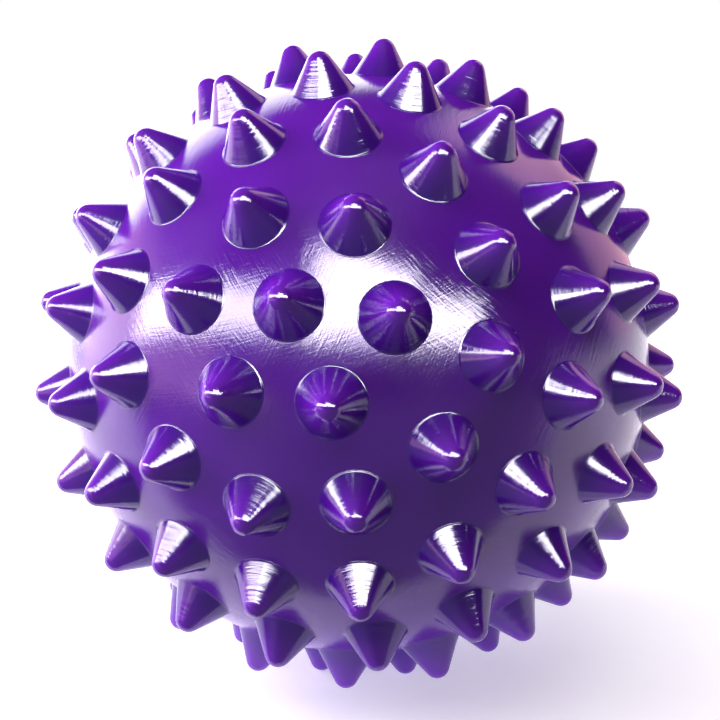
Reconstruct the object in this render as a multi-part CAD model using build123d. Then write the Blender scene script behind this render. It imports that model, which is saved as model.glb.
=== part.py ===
from build123d import *
import os
from math import acos, atan2, cos, degrees, radians, sin, sqrt

# A spiked massage ball: a hollow ball of glossy soft PVC, cast in a mould of two like halves, with
# rings of blunt cones on it and an inflation valve at the back pole of the mould.
# Millimetres. Origin at the centre of the ball, +Z up, the front pole of the mould towards -Y.

# ---- skin ----
BALL_D = 67.5          # outside of the skin, between the spikes
WALL = 3.0             # thickness of the skin
SEAM_R = 0.30          # rounding of the witness line where the two mould halves met
SEAM_PROUD = 0.15      # how far that line stands out of the skin

# ---- spikes ----
SPIKE_H = 3.85         # from the skin to the tip
SPIKE_BASE_D = 6.5     # where the cone meets the skin
SPIKE_TIP_R = 1.4      # rounding of the blunt tip

# Half of the mould, from its pole to its rim: how many spikes each ring has, and where its first
# spike stands past the keel, as a share of the spacing in that ring.
RINGS = ((6, 0.39), (12, 0.57), (17, 0.5), (20, 0.5), (22, 0.0))
BACK_TURN = 5.5        # the back half is turned by this many spacings of the rim ring

# ---- valve, from the pin outwards ----
PIN_D = 3.0            # the stopper's pin
PIN_CLEARANCE = 0.05   # all round the pin
PIN_POINT = 1.2        # length of the taper at the pin's end
PIN_END_D = 1.8        # flat at the end of the taper
HEAD_LAP = 1.45        # how far the hollow for the stopper's head reaches past the pin's hole
HEAD_CLEARANCE = 0.12  # all round and under the head
HEAD_PROUD = 0.35      # how far the head's low dome stands out of the skin
RECESS_DEPTH = 1.1     # depth of the hollow that takes the head
NAIL_REACH = 1.1       # slot beside the head for a fingernail
NAIL_W = 2.4
SEAT_WALL = 1.95       # rubber round the pin's hole
FLANGE_RIM = 0.7       # rubber of the flange past the nail slot
FLANGE_WEB = 0.8       # rubber of the flange below the hollow
COLLAR_RIM = 0.7       # how much wider the boss inside the skin is than the flange
COLLAR_DEPTH = 4.0     # how far that boss reaches in past the skin
CUT_OVER = 2.0         # how far a cut runs past what it cuts

ball_r = BALL_D / 2
inner_r = ball_r - WALL
ring_step = 180 / (2 * len(RINGS) + 1)
rim_spacing = 360 / RINGS[-1][0]

pin_bore_d = PIN_D + 2 * PIN_CLEARANCE
recess_d = pin_bore_d + 2 * HEAD_LAP
head_d = recess_d - 2 * HEAD_CLEARANCE
seat_d = pin_bore_d + 2 * SEAT_WALL
nail_end = recess_d / 2 + NAIL_REACH
flange_d = 2 * (nail_end + FLANGE_RIM)
collar_d = flange_d + 2 * COLLAR_RIM

recess_floor = ball_r - RECESS_DEPTH
flange_floor = recess_floor - FLANGE_WEB
seat_end = inner_r - COLLAR_DEPTH
outside = ball_r + CUT_OVER


def front_spikes(ring):
    """Angle from the front pole, and angles past the keel, of one ring of the front half."""
    count, start = RINGS[ring - 1]
    return ring * ring_step, [(start + i) * 360 / count for i in range(count)]


def back_spikes(ring):
    """The same for the back half, which is the front half turned over and round."""
    away, around = front_spikes(ring)
    return 180 - away, [BACK_TURN * rim_spacing - a for a in around]


def keel_corner(ring):
    """Angle from the front pole, and from the keel, of a back ring's spike next to the keel."""
    away, around = back_spikes(ring)
    beside = min(abs((a + 180) % 360 - 180) for a in around)
    return radians(away), radians(beside)


def resting_angle():
    """Angle from the front pole to the middle of the four spikes that the ball stands on."""
    rim_away, rim_beside = keel_corner(len(RINGS))
    next_away, next_beside = keel_corner(len(RINGS) - 1)
    rise = cos(next_away) - cos(rim_away)
    run = sin(rim_away) * cos(rim_beside) - sin(next_away) * cos(next_beside)
    return degrees(atan2(-rise, -run)) % 180


lean = resting_angle() - 90
pole = (0, -cos(radians(lean)), sin(radians(lean)))
keel = (0, -sin(radians(lean)), -cos(radians(lean)))
in_mould = Plane(origin=(0, 0, 0), x_dir=keel, z_dir=pole).location
at_valve = in_mould * Rot(180, 0, 0)


def turned(outline):
    """A solid of revolution about Z from the outline of its half section."""
    return revolve(make_face(outline), Axis.Z, 360)


def one_spike():
    """A blunt cone on +Z, hollowed below to sit on the ball."""
    half_base = SPIKE_BASE_D / 2
    base_z = sqrt(ball_r**2 - half_base**2)
    top_z = ball_r + SPIKE_H
    centre_z = top_z - SPIKE_TIP_R
    rise = centre_z - base_z
    slope = acos(SPIKE_TIP_R / sqrt(half_base**2 + rise**2)) - atan2(rise, half_base)
    half_way = (slope + radians(90)) / 2
    side_end = (SPIKE_TIP_R * cos(slope), 0, centre_z + SPIKE_TIP_R * sin(slope))
    tip_middle = (SPIKE_TIP_R * cos(half_way), 0, centre_z + SPIKE_TIP_R * sin(half_way))
    base_edge = (half_base, 0, base_z)
    base_half = half_base / 2
    base_middle = (base_half, 0, sqrt(ball_r**2 - base_half**2))
    outline = Curve() + [
        ThreePointArc((0, 0, ball_r), base_middle, base_edge),
        Line(base_edge, side_end),
        ThreePointArc(side_end, tip_middle, (0, 0, top_z)),
        Line((0, 0, top_z), (0, 0, ball_r)),
    ]
    return turned(outline)


def spike_group(spike, away, around):
    """One ring of spikes, each its own solid, placed on the ball."""
    return Compound(children=[
        in_mould * Rot(0, 0, a) * Rot(0, away, 0) * spike for a in around
    ])


def disc(diameter, low, high):
    """A round bar on Z between two heights."""
    return Pos(0, 0, (low + high) / 2) * Cylinder(diameter / 2, high - low)


def skin():
    """The hollow ball, with its witness line and the boss that holds the valve."""
    seam = Torus(ball_r + SEAM_PROUD - SEAM_R, SEAM_R)
    ball = in_mould * (Sphere(ball_r) + seam)
    ball -= Sphere(inner_r)
    ball += at_valve * disc(collar_d, seat_end, ball_r - WALL / 2)
    ball -= at_valve * disc(seat_d, seat_end - CUT_OVER, outside)
    ball -= at_valve * disc(flange_d, flange_floor, outside)
    return ball


def valve_seat():
    """The rubber seat: a flanged plug flush with the skin, bored for the stopper."""
    slot = Box(
        nail_end, NAIL_W, outside - recess_floor, align=(Align.MIN, Align.CENTER, Align.MIN)
    )
    seat = disc(seat_d, seat_end, flange_floor) + disc(flange_d, flange_floor, ball_r)
    seat &= Sphere(ball_r)
    seat -= disc(recess_d, recess_floor, outside)
    seat -= Pos(0, 0, recess_floor) * slot
    seat -= disc(pin_bore_d, seat_end - CUT_OVER, ball_r)
    return at_valve * seat


def valve_stopper():
    """The stopper: a tapered pin with a low domed head."""
    head_floor = recess_floor + HEAD_CLEARANCE
    taper_middle = seat_end + PIN_POINT / 2
    head = disc(head_d, head_floor, outside) & Sphere(ball_r + HEAD_PROUD)
    pin = disc(PIN_D, seat_end + PIN_POINT, head_floor)
    point = Pos(0, 0, taper_middle) * Cone(PIN_END_D / 2, PIN_D / 2, PIN_POINT)
    return at_valve * (head + pin + point)


def nodes():
    """Every node's name and its solids."""
    spike = one_spike()
    yield "skin", skin()
    yield "front_pole_spike", spike_group(spike, 0, [0])
    for ring in range(1, len(RINGS) + 1):
        yield f"front_ring_{ring}_spikes", spike_group(spike, *front_spikes(ring))
    for ring in range(1, len(RINGS) + 1):
        yield f"back_ring_{ring}_spikes", spike_group(spike, *back_spikes(ring))
    yield "valve_seat", valve_seat()
    yield "valve_stopper", valve_stopper()


os.makedirs("parts", exist_ok=True)
for name, shape in nodes():
    export_step(shape, f"parts/{name}.step")

print("lean of the mould axis", round(lean, 4))
print("the stopper pulls along", [round(-v, 6) for v in pole])
print("spikes", 1 + 2 * sum(count for count, _ in RINGS))
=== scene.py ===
"""Looks of a spiked massage ball: glossy purple PVC skin, 155 mirror-bright cones, rubber valve.

Metres. The origin is the centre of the ball, +Z is up, and the front pole of the mould is towards -Y.
"""

from math import acos, atan2, cos, pi, radians, sin, sqrt, tan

import bpy
from mathutils import Matrix, Quaternion, Vector


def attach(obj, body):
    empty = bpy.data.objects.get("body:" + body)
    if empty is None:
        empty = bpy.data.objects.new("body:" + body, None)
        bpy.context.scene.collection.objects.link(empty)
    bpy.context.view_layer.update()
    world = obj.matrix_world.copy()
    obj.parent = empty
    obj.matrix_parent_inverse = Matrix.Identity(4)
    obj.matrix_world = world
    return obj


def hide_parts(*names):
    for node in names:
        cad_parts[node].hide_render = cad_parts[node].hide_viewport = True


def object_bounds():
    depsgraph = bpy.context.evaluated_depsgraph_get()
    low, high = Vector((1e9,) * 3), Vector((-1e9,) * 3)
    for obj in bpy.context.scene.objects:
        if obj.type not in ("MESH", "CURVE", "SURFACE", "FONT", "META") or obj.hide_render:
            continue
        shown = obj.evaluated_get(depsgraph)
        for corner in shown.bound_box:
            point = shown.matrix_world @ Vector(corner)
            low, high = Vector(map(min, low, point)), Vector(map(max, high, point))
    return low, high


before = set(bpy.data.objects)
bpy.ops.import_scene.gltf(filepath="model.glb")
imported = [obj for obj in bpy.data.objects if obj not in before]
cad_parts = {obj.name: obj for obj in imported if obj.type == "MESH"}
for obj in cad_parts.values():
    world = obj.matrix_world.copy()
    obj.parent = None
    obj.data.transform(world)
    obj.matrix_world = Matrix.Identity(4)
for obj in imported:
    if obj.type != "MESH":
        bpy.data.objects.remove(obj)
cad_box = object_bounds()

# ---- ball ----
BALL_R = 0.03375           # outside of the skin, between the spikes
TIP_R = 0.0376             # from the middle of the ball to a spike's tip

# ---- spike, as cast ----
SPIKE_BASE_R = 0.00325     # where the cone's side would meet the skin
SPIKE_TIP_ROUND = 0.0014   # rounding of the blunt tip
FILLET_R = 0.00028         # fillet where the cone runs into the skin
ROOT_DEPTH = 0.0006        # how far the spike's closed foot is buried in the skin
FOOT_DIP = ROOT_DEPTH / 4  # how far below the skin the fillet starts
TIP_MATCH = 1e-7           # a CAD vertex this near TIP_R is at a spike's tip
AXIS_GAP = 3               # degrees; tip vertices closer than this belong to one spike
SPIKE_SIDES = 32
TIP_RINGS = 5
FILLET_RINGS = 4

# ---- camera ----
CAMERA_AZIMUTH = 10.87     # degrees to the right of the front
CAMERA_ELEVATION = 7.44
CAMERA_ROLL = 2.34         # the right side dips
CAMERA_DISTANCE = 0.1248
LENS = 51.55
SHIFT = (0.00125, 0.004)

# ---- room and lights ----
LIGHT_DISTANCE = 0.6       # from the middle of the ball to each soft light
TABLE_WIDTH = 8.0
TABLE_DEPTH = 4.0
TABLE_EDGE_Y = -0.028      # front edge of the table
TABLE_GLOW = 0.45          # how brightly the table glows beside the ball
FAR_TABLE_GLOW = 0.6       # how much more it glows further off, where it fades into the white
BACKDROP_GLOW = 3.4
LEFT_WALL_GLOW = 2.4
RIGHT_WALL_GLOW = 1.4      # near the floor; twice that high up
NEAR_FLOOR_GLOW = 0.3      # the room's floor in front of the table
DARK_GLOW = 0.04           # the rest of the room
WORLD_DIMMING = 0.85       # share of the room's light that is kept off matt surfaces
FACING = (0.98, 0.19)      # cosine and sine of the camera's azimuth, for left and right in the room
FADE_TO_WHITE = (0.06, 0.30)              # distances between which the table's glow rises

# Where each part of the room begins and where it is full, as a share of a direction's length.
BACKDROP_AHEAD = (0.82, 0.95)
LEFT_WALL_TOP = (0.35, 0.60)
LEFT_WALL_ASIDE = (0.10, 0.30)
LEFT_WALL_AHEAD = (-0.1, 0.2)
RIGHT_WALL_TOP = (0.40, 0.70)
RIGHT_WALL_ASIDE = (0.25, 0.45)
RIGHT_WALL_AHEAD = (0.30, 0.44)
NEAR_FLOOR_BELOW = (0.0, 0.2)
NEAR_FLOOR_BEHIND = (-0.2, 0.3)
ROSY_UPWARDS = (0.15, 0.40)               # the left wall is rosy only higher up

# ---- colours ----
WHITE = (1, 1, 1, 1)
SKIN_DARK, SKIN_LIGHT = (0.105, 0.008, 0.36, 1), (0.15, 0.013, 0.45, 1)
# spike colours: painted shade at the foot, and a painted glow of light through the thin tip
SPIKE_FOOT_SHADE_PAINTED, SPIKE_TIP_GLOW_PAINTED = (0.058, 0.003, 0.27, 1), (0.185, 0.012, 0.58, 1)
RUBBER_DARK, RUBBER_LIGHT = (0.035, 0.004, 0.11, 1), (0.060, 0.008, 0.17, 1)
STOPPER_DARK, STOPPER_LIGHT = (0.065, 0.006, 0.22, 1), (0.095, 0.010, 0.30, 1)
TABLE_DARK, TABLE_LIGHT = (0.88, 0.88, 0.89, 1), (0.91, 0.91, 0.91, 1)
ROSY_WALL = (1.0, 0.55, 0.60, 1)
ROSY_PANEL = (1.0, 0.62, 0.66)
PINK_CARD = (1.0, 0.62, 0.74)
WARM_WHITE = (1.0, 0.92, 0.95)
COOL_WHITE = (0.85, 0.88, 1.0)

# ---- marks in the surface: how close together (to the metre), and how high (metres) ----
PVC_INDEX = 1.55           # refraction index of the gloss
SKIN_CLOUDS = 45.0
SKIN_FINE_CLOUDS = 260.0
BUFFED_PATCHES = 95.0
HAIRLINE = (0.00016, 0.0030, 0.0030)      # size of a polishing line, across and along
HAIRLINE_TURNS = ((0.0, 0.5, 0.35), (0.2, -0.7, -0.5), (1.1, 1.2, 0.9))
HAIRLINE_HEIGHT = 0.000026
PITS = 420.0
PIT_EDGE = (0.03, 0.09)
PIT_DEPTH = 0.00001
ORANGE_PEEL = 900.0
ORANGE_PEEL_HEIGHT = 0.000006
SPIKE_CLOUDS = 140.0
LATHE_RINGS = 3400.0       # turning marks up a spike
LATHE_RING_HEIGHT = 0.000045
RIPPLES = 520.0
RIPPLE_HEIGHT = 0.00002
RUBBER_CLOUDS = 500.0
RUBBER_GRAIN = 5200.0
RUBBER_GRAIN_HEIGHT = 0.00001
STOPPER_CLOUDS = 700.0
RUB_MARK = (0.00004, 0.0012, 0.0012)      # size of a fingernail's rubbing, across and along
RUB_TURN = (0.3, 0.9, 0.2)
RUB_HEIGHT = 0.000006
TABLE_CLOUDS = 3.0


# ---- shader maths ----
MIX_FACTOR, MIX_FIRST, MIX_SECOND, MIX_COLOUR = 0, 6, 7, 2      # sockets of the Mix node for colours


class Value:
    """A node socket that can be used in a Python expression."""

    def __init__(self, shader, socket):
        self.shader = shader
        self.socket = socket

    def maths(self, operation, *others):
        return self.shader.node("ShaderNodeMath", {"operation": operation}, (self, *others))

    def __add__(self, other):
        return self.maths("ADD", other)

    def __radd__(self, other):
        return self.maths("ADD", other)

    def __sub__(self, other):
        return self.maths("SUBTRACT", other)

    def __rsub__(self, other):
        return (self * -1.0).maths("ADD", other)

    def __mul__(self, other):
        return self.maths("MULTIPLY", other)

    def __truediv__(self, other):
        return self.maths("DIVIDE", other)


class Shader:
    """The node tree of a material or of the world."""

    def __init__(self, tree):
        self.tree = tree
        tree.nodes.clear()

    def node(self, kind, settings=None, inputs=(), output=0):
        """Adds a node with its settings, fills its sockets, and gives one output as a Value."""
        made = self.tree.nodes.new(kind)
        for name, setting in (settings or {}).items():
            setattr(made, name, setting)
        pairs = inputs.items() if isinstance(inputs, dict) else enumerate(inputs)
        for place, given in pairs:
            socket = made.inputs[place]
            if isinstance(given, Value):
                self.tree.links.new(given.socket, socket)
            else:
                socket.default_value = given
        return Value(self, made.outputs[output]) if len(made.outputs) else None

    def smooth(self, value, low, high):
        """0 below low, 1 above high, with a smooth rise between."""
        return self.node(
            "ShaderNodeMapRange",
            {"interpolation_type": "SMOOTHSTEP"},
            {"Value": value, "From Min": low, "From Max": high, "To Min": 0.0, "To Max": 1.0},
        )

    def blend(self, factor, first, second):
        """A colour part of the way from the first to the second."""
        colours = {MIX_FACTOR: factor, MIX_FIRST: first, MIX_SECOND: second}
        return self.node("ShaderNodeMix", {"data_type": "RGBA"}, colours, MIX_COLOUR)

    def split(self, vector):
        """The three parts of a vector."""
        made = self.tree.nodes.new("ShaderNodeSeparateXYZ")
        self.tree.links.new(vector.socket, made.inputs[0])
        return [Value(self, part) for part in made.outputs]

    def place(self):
        """Where a point of the surface is, in the piece's own coordinates."""
        return self.node("ShaderNodeTexCoord", output="Object")

    def length(self, vector):
        return self.node("ShaderNodeVectorMath", {"operation": "LENGTH"}, (vector,), "Value")

    def noise(self, place, scale, detail, roughness=0.5):
        return self.node(
            "ShaderNodeTexNoise",
            {},
            {"Vector": place, "Scale": scale, "Detail": detail, "Roughness": roughness},
        )

    def stretched(self, place, turn, scale):
        """Coordinates turned and drawn out, for marks that run one way."""
        return self.node(
            "ShaderNodeMapping",
            {"vector_type": "TEXTURE"},
            {"Vector": place, "Rotation": turn, "Scale": scale},
        )

    def bump(self, height, distance, strength, normal=None):
        inputs = {"Height": height, "Distance": distance, "Strength": strength}
        if normal is not None:
            inputs["Normal"] = normal
        return self.node("ShaderNodeBump", {}, inputs)


def new_material(name):
    material = bpy.data.materials.new(name)
    material.use_nodes = True
    return material, Shader(material.node_tree)


def finish_material(shader, surface):
    shader.node("ShaderNodeOutputMaterial", {}, {"Surface": surface})


def glossy_pvc(shader, colour, roughness, normal):
    """PVC and rubber alike: a coloured body under its own clear gloss, with no lacquer on it."""
    return shader.node(
        "ShaderNodeBsdfPrincipled",
        {},
        {"Base Color": colour, "Roughness": roughness, "Normal": normal, "IOR": PVC_INDEX},
    )


def skin_material():
    """Purple PVC, buffed in many directions, so the edges of a highlight show hairlines."""
    material, sh = new_material("buffed_purple_pvc")
    place = sh.place()
    cloud = sh.noise(place, SKIN_CLOUDS, 3.0)
    fine_cloud = sh.noise(place, SKIN_FINE_CLOUDS, 4.0)
    colour = sh.blend(cloud * 0.7 + fine_cloud * 0.3, SKIN_DARK, SKIN_LIGHT)
    hairs = [
        sh.noise(sh.stretched(place, turn, HAIRLINE), 1.0, 2.0, 0.6) for turn in HAIRLINE_TURNS
    ]
    patch = sh.smooth(sh.noise(place, BUFFED_PATCHES, 2.0), 0.40, 0.62)
    scratch = hairs[0] * patch + hairs[1] * (1.0 - patch) + hairs[2] * 0.5
    pits = sh.node(
        "ShaderNodeTexVoronoi", {"feature": "F1"}, {"Vector": place, "Scale": PITS}
    )
    pit = 1.0 - sh.smooth(pits, *PIT_EDGE)
    orange_peel = sh.noise(place, ORANGE_PEEL, 2.0)
    roughness = 0.07 + fine_cloud * 0.08 + patch * 0.05
    normal = sh.bump(orange_peel, ORANGE_PEEL_HEIGHT, 0.5)
    normal = sh.bump(scratch, HAIRLINE_HEIGHT, 0.85, normal)
    normal = sh.bump(pit * -1.0, PIT_DEPTH, 0.35, normal)
    finish_material(sh, glossy_pvc(sh, colour, roughness, normal))
    return material


def spike_material():
    """The same PVC off the mould's turned and polished cones: mirror-bright, with faint rings."""
    material, sh = new_material("mirror_purple_pvc")
    place = sh.place()
    reach = sh.length(place)
    height = (reach - BALL_R) / (TIP_R - BALL_R)
    cloud = sh.noise(place, SPIKE_CLOUDS, 2.0)
    # painted light: the colour runs from painted shade at the foot to a painted glow at the tip
    painted_tip_glow = sh.smooth(height, 0.0, 1.0)
    colour = sh.blend(painted_tip_glow * 0.75 + cloud * 0.25, SPIKE_FOOT_SHADE_PAINTED, SPIKE_TIP_GLOW_PAINTED)
    ring_place = sh.node(
        "ShaderNodeCombineXYZ", {}, {"X": reach * LATHE_RINGS, "Y": cloud * 3.0, "Z": 0.0}
    )
    rings = sh.noise(ring_place, 1.0, 2.0, 0.6)
    ripple = sh.noise(place, RIPPLES, 2.0)
    roughness = 0.08 + ripple * 0.12
    normal = sh.bump(rings, LATHE_RING_HEIGHT, 0.9)
    normal = sh.bump(ripple, RIPPLE_HEIGHT, 0.4, normal)
    finish_material(sh, glossy_pvc(sh, colour, roughness, normal))
    return material


def rubber_material():
    """Dark soft rubber of the valve seat, with a fine moulded grain."""
    material, sh = new_material("dark_purple_rubber")
    place = sh.place()
    cloud = sh.noise(place, RUBBER_CLOUDS, 3.0)
    grain = sh.noise(place, RUBBER_GRAIN, 2.0)
    colour = sh.blend(cloud, RUBBER_DARK, RUBBER_LIGHT)
    roughness = 0.42 + cloud * 0.2
    normal = sh.bump(grain, RUBBER_GRAIN_HEIGHT, 0.6)
    finish_material(sh, glossy_pvc(sh, colour, roughness, normal))
    return material


def stopper_material():
    """Hard PVC of the stopper: satin, with the rubbing of fingernails."""
    material, sh = new_material("satin_purple_pvc")
    place = sh.place()
    cloud = sh.noise(place, STOPPER_CLOUDS, 3.0)
    rub = sh.noise(sh.stretched(place, RUB_TURN, RUB_MARK), 1.0, 2.0)
    colour = sh.blend(cloud, STOPPER_DARK, STOPPER_LIGHT)
    roughness = 0.20 + rub * 0.25
    normal = sh.bump(rub, RUB_HEIGHT, 0.5)
    finish_material(sh, glossy_pvc(sh, colour, roughness, normal))
    return material


# ---- spikes ----
def spike_profile():
    """Points up the spike's side: distance from its axis, and height above the ball's middle."""
    base_z = sqrt(BALL_R**2 - SPIKE_BASE_R**2)
    centre_z = TIP_R - SPIKE_TIP_ROUND
    rise = centre_z - base_z
    slope = acos(SPIKE_TIP_ROUND / sqrt(SPIKE_BASE_R**2 + rise**2)) - atan2(rise, SPIKE_BASE_R)
    side = Vector((-sin(slope), cos(slope)))
    skin_tilt = atan2(SPIKE_BASE_R, base_z)
    along_skin = Vector((cos(skin_tilt), -sin(skin_tilt)))
    corner = Vector((SPIKE_BASE_R, base_z))
    turn = pi - along_skin.angle(side)
    tangent = FILLET_R * tan(turn / 2)
    foot = corner + along_skin * tangent
    up_side = Vector((sin(skin_tilt), cos(skin_tilt)))
    middle = foot + up_side * FILLET_R
    outline = [(SPIKE_BASE_R, BALL_R - ROOT_DEPTH), (foot.x, foot.y - FOOT_DIP)]
    for i in range(FILLET_RINGS + 1):
        angle = turn * i / FILLET_RINGS
        spoke = -up_side * cos(angle) - along_skin * sin(angle)
        point = middle + spoke * FILLET_R
        outline.append((point.x, point.y))
    for i in range(TIP_RINGS):
        angle = slope + (pi / 2 - slope) * i / TIP_RINGS
        outline.append((SPIKE_TIP_ROUND * cos(angle), centre_z + SPIKE_TIP_ROUND * sin(angle)))
    return outline


def model_spike():
    """One spike on +Z, drawn up ring by ring from its foot, closed at the foot and the tip."""
    outline = spike_profile()
    bpy.ops.object.select_all(action="DESELECT")
    radius, height = outline[0]
    bpy.ops.mesh.primitive_circle_add(
        vertices=SPIKE_SIDES, radius=radius, fill_type="NGON", location=(0, 0, height)
    )
    spike = bpy.context.object
    bpy.ops.object.transform_apply(location=True, rotation=True, scale=True)
    bpy.ops.object.mode_set(mode="EDIT")
    bpy.ops.mesh.select_mode(type="EDGE")
    bpy.ops.mesh.select_all(action="SELECT")
    for next_radius, next_height in outline[1:]:
        bpy.ops.mesh.extrude_edges_move(
            TRANSFORM_OT_translate={"value": (0, 0, next_height - height)}
        )
        grow = next_radius / radius
        bpy.ops.transform.resize(
            value=(grow, grow, 1), center_override=(0, 0, next_height)
        )
        radius, height = next_radius, next_height
    bpy.ops.mesh.extrude_edges_move(TRANSFORM_OT_translate={"value": (0, 0, TIP_R - height)})
    bpy.ops.mesh.merge(type="CENTER")
    bpy.ops.mesh.select_all(action="SELECT")
    bpy.ops.mesh.normals_make_consistent(inside=False)
    bpy.ops.object.mode_set(mode="OBJECT")
    bpy.ops.object.shade_smooth()
    return spike


def spike_axes(node):
    """The direction of every spike of a CAD node, from the ends of their tips."""
    axes = []
    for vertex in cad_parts[node].data.vertices:
        if vertex.co.length < TIP_R - TIP_MATCH:
            continue
        axis = vertex.co.normalized()
        if all(axis.angle(other) > radians(AXIS_GAP) for other in axes):
            axes.append(axis)
    return axes


def place_spikes(pattern, node):
    """Copies of the pattern on every axis of a CAD node, joined as one piece."""
    copies = []
    for axis in spike_axes(node):
        copy = pattern.copy()
        copy.data = pattern.data.copy()
        bpy.context.collection.objects.link(copy)
        copy.data.transform(axis.to_track_quat("Z", "Y").to_matrix().to_4x4())
        copies.append(copy)
    bpy.ops.object.select_all(action="DESELECT")
    for copy in copies:
        copy.select_set(True)
    bpy.context.view_layer.objects.active = copies[0]
    if len(copies) > 1:
        bpy.ops.object.join()
    piece = bpy.context.object
    piece.name = node + "_cast"
    return piece


spike_pvc = spike_material()
pattern = model_spike()
for node in sorted(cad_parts):
    if "spike" not in node:
        continue
    piece = place_spikes(pattern, node)
    piece.data.materials.clear()
    piece.data.materials.append(spike_pvc)
    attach(piece, "ball")
    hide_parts(node)
bpy.data.objects.remove(pattern)


def finish_node(node, material):
    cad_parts[node].material_slots[0].material = material


finish_node("skin", skin_material())
finish_node("valve_seat", rubber_material())
finish_node("valve_stopper", stopper_material())


# ---- studio ----
def look_along(azimuth, elevation):
    """Unit vector from the middle of the ball: azimuth 0 is the front, 90 the right."""
    a, e = radians(azimuth), radians(elevation)
    return Vector((sin(a) * cos(e), -cos(a) * cos(e), sin(e)))


def add_camera():
    data = bpy.data.cameras.new("camera")
    data.lens = LENS
    data.sensor_width = 36
    data.shift_x, data.shift_y = SHIFT
    data.clip_start, data.clip_end = 0.001, 20
    camera = bpy.data.objects.new("camera", data)
    bpy.context.scene.collection.objects.link(camera)
    back = look_along(CAMERA_AZIMUTH, CAMERA_ELEVATION)
    turn = (-back).to_track_quat("-Z", "Y").to_matrix()
    roll = Matrix.Rotation(-radians(CAMERA_ROLL), 3, "Z")
    facing = (turn @ roll).to_quaternion()
    camera.matrix_world = Matrix.LocRotScale(back * CAMERA_DISTANCE, facing, None)
    bpy.context.scene.camera = camera


def softbox(
    name, azimuth, elevation, size, radiance, colour, tilt=0, mirrored=True, lit=True
):
    """A flat soft light that faces the ball, given by the brightness of its face.

    mirrored: the ball's gloss reflects it; lit: it lights matt surfaces.
    """
    data = bpy.data.lights.new(name, "AREA")
    data.shape = "RECTANGLE"
    data.size, data.size_y = size
    data.energy = radiance * size[0] * size[1] * pi
    data.color = colour
    light = bpy.data.objects.new(name, data)
    bpy.context.scene.collection.objects.link(light)
    towards = look_along(azimuth, elevation)
    light.location = towards * LIGHT_DISTANCE
    light.rotation_mode = "QUATERNION"
    turn = Quaternion((0, 0, 1), radians(tilt))
    light.rotation_quaternion = towards.to_track_quat("Z", "Y") @ turn
    light.visible_camera = False
    light.visible_glossy = mirrored
    light.visible_diffuse = lit


def add_floor():
    """A white table under the four spike tips that the ball stands on; its front edge is close by."""
    middle_y = TABLE_EDGE_Y + TABLE_DEPTH / 2
    bpy.ops.object.select_all(action="DESELECT")
    bpy.ops.mesh.primitive_plane_add(size=1, location=(0, middle_y, cad_box[0].z))
    floor = bpy.context.object
    floor.name = "floor"
    floor.scale = (TABLE_WIDTH, TABLE_DEPTH, 1)
    bpy.ops.object.transform_apply(location=True, rotation=True, scale=True)
    material, sh = new_material("white_table")
    place = sh.place()
    paper = sh.noise(place, TABLE_CLOUDS, 2.0)
    pale = sh.blend(paper, TABLE_DARK, TABLE_LIGHT)
    glow = TABLE_GLOW + sh.smooth(sh.length(place), *FADE_TO_WHITE) * FAR_TABLE_GLOW
    parts = (
        sh.node("ShaderNodeBsdfDiffuse", {}, {"Color": pale}),
        sh.node("ShaderNodeEmission", {}, {"Color": WHITE, "Strength": glow}),
    )
    finish_material(sh, sh.node("ShaderNodeAddShader", {}, parts))
    floor.data.materials.append(material)


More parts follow.
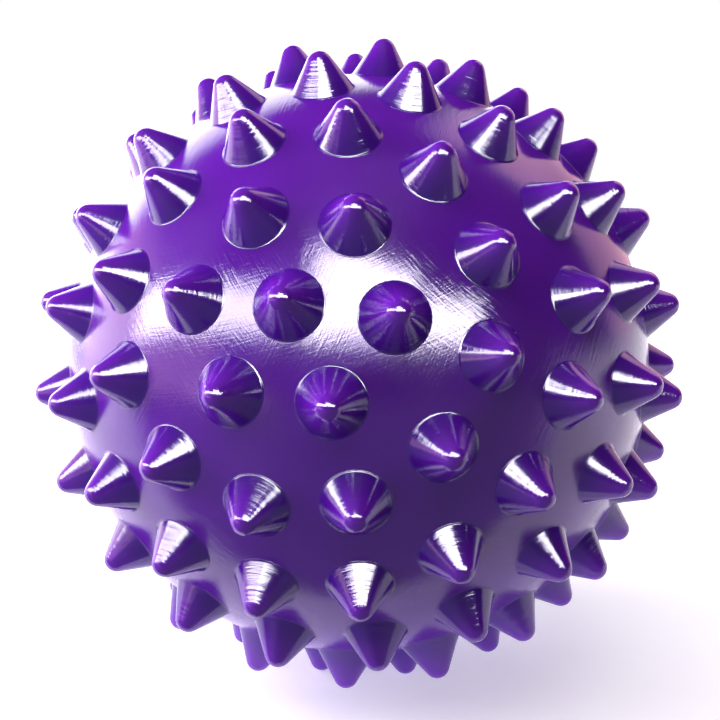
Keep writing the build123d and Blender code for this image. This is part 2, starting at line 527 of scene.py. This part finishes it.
def add_world():
    """White to the camera, and a dim room to everything else.

    The room has a bright backdrop behind the ball and more to its left, rosy walls on both sides and
    a dim floor in front of the table.
    """
    world = bpy.data.worlds.new("pale_room")
    bpy.context.scene.world = world
    world.use_nodes = True
    sh = Shader(world.node_tree)
    x, y, z = sh.split(sh.node("ShaderNodeTexCoord", output="Generated"))
    ahead = y * FACING[0] - x * FACING[1]
    aside = x * FACING[0] + y * FACING[1]
    backdrop = sh.smooth(ahead + z * 0.25 - aside * 0.3, *BACKDROP_AHEAD) * BACKDROP_GLOW
    low = 1.0 - sh.smooth(z, *LEFT_WALL_TOP)
    left_side = sh.smooth(aside * -1.0, *LEFT_WALL_ASIDE) * sh.smooth(ahead, *LEFT_WALL_AHEAD)
    left_wall = left_side * low * LEFT_WALL_GLOW
    high = sh.smooth(z, *RIGHT_WALL_TOP)
    right_side = sh.smooth(aside, *RIGHT_WALL_ASIDE)
    right_wall = right_side * sh.smooth(ahead + high * 0.1, *RIGHT_WALL_AHEAD)
    right_glow = right_wall * (RIGHT_WALL_GLOW + high * RIGHT_WALL_GLOW)
    below = sh.smooth(z * -1.0, *NEAR_FLOOR_BELOW)
    near_floor = below * sh.smooth(ahead * -1.0, *NEAR_FLOOR_BEHIND) * NEAR_FLOOR_GLOW
    camera_ray = sh.node("ShaderNodeLightPath", output="Is Camera Ray")
    diffuse_ray = sh.node("ShaderNodeLightPath", output="Is Diffuse Ray")
    walls = DARK_GLOW + backdrop + near_floor + left_wall + right_glow
    room = walls * (1.0 - diffuse_ray * WORLD_DIMMING)
    strength = room * (1.0 - camera_ray) + camera_ray
    rosy_left = left_wall * sh.smooth(z, *ROSY_UPWARDS)
    rosy = (1.0 - backdrop) * (rosy_left + right_wall) * (1.0 - camera_ray)
    colour = sh.blend(rosy, WHITE, ROSY_WALL)
    background = sh.node("ShaderNodeBackground", {}, {"Color": colour, "Strength": strength})
    sh.node("ShaderNodeOutputWorld", {}, {"Surface": background})


add_camera()
add_floor()
add_world()
softbox(
    "front_strip_left", azimuth=-44, elevation=24, tilt=7, size=(0.84, 0.16),
    radiance=21, colour=(1.0, 0.95, 0.97), lit=False,
)
softbox(
    "front_strip_right", azimuth=24, elevation=22.5, tilt=-7, size=(0.74, 0.165),
    radiance=27, colour=(1.0, 0.96, 0.97), lit=False,
)
softbox(
    "front_wedge", azimuth=14, elevation=36, tilt=-20, size=(0.37, 0.18),
    radiance=27, colour=(1.0, 0.96, 0.97), lit=False,
)
softbox(
    "side_panel", azimuth=-80, elevation=7, size=(0.90, 0.25),
    radiance=2.2, colour=ROSY_PANEL, lit=False,
)
softbox(
    "rosy_card", azimuth=-38, elevation=-2, size=(0.30, 0.07),
    radiance=2.6, colour=PINK_CARD, lit=False,
)
softbox(
    "side_wash", azimuth=-85, elevation=28, size=(0.5, 0.5),
    radiance=6.4, colour=WARM_WHITE, mirrored=False,
)
softbox(
    "top_wash", azimuth=-10, elevation=70, size=(0.6, 0.6),
    radiance=2.7, colour=WARM_WHITE, mirrored=False,
)
softbox(
    "low_wash", azimuth=-40, elevation=-20, size=(0.5, 0.4),
    radiance=2.0, colour=COOL_WHITE, mirrored=False,
)

scene = bpy.context.scene
scene.view_settings.view_transform = "Standard"
scene.view_settings.look = "None"
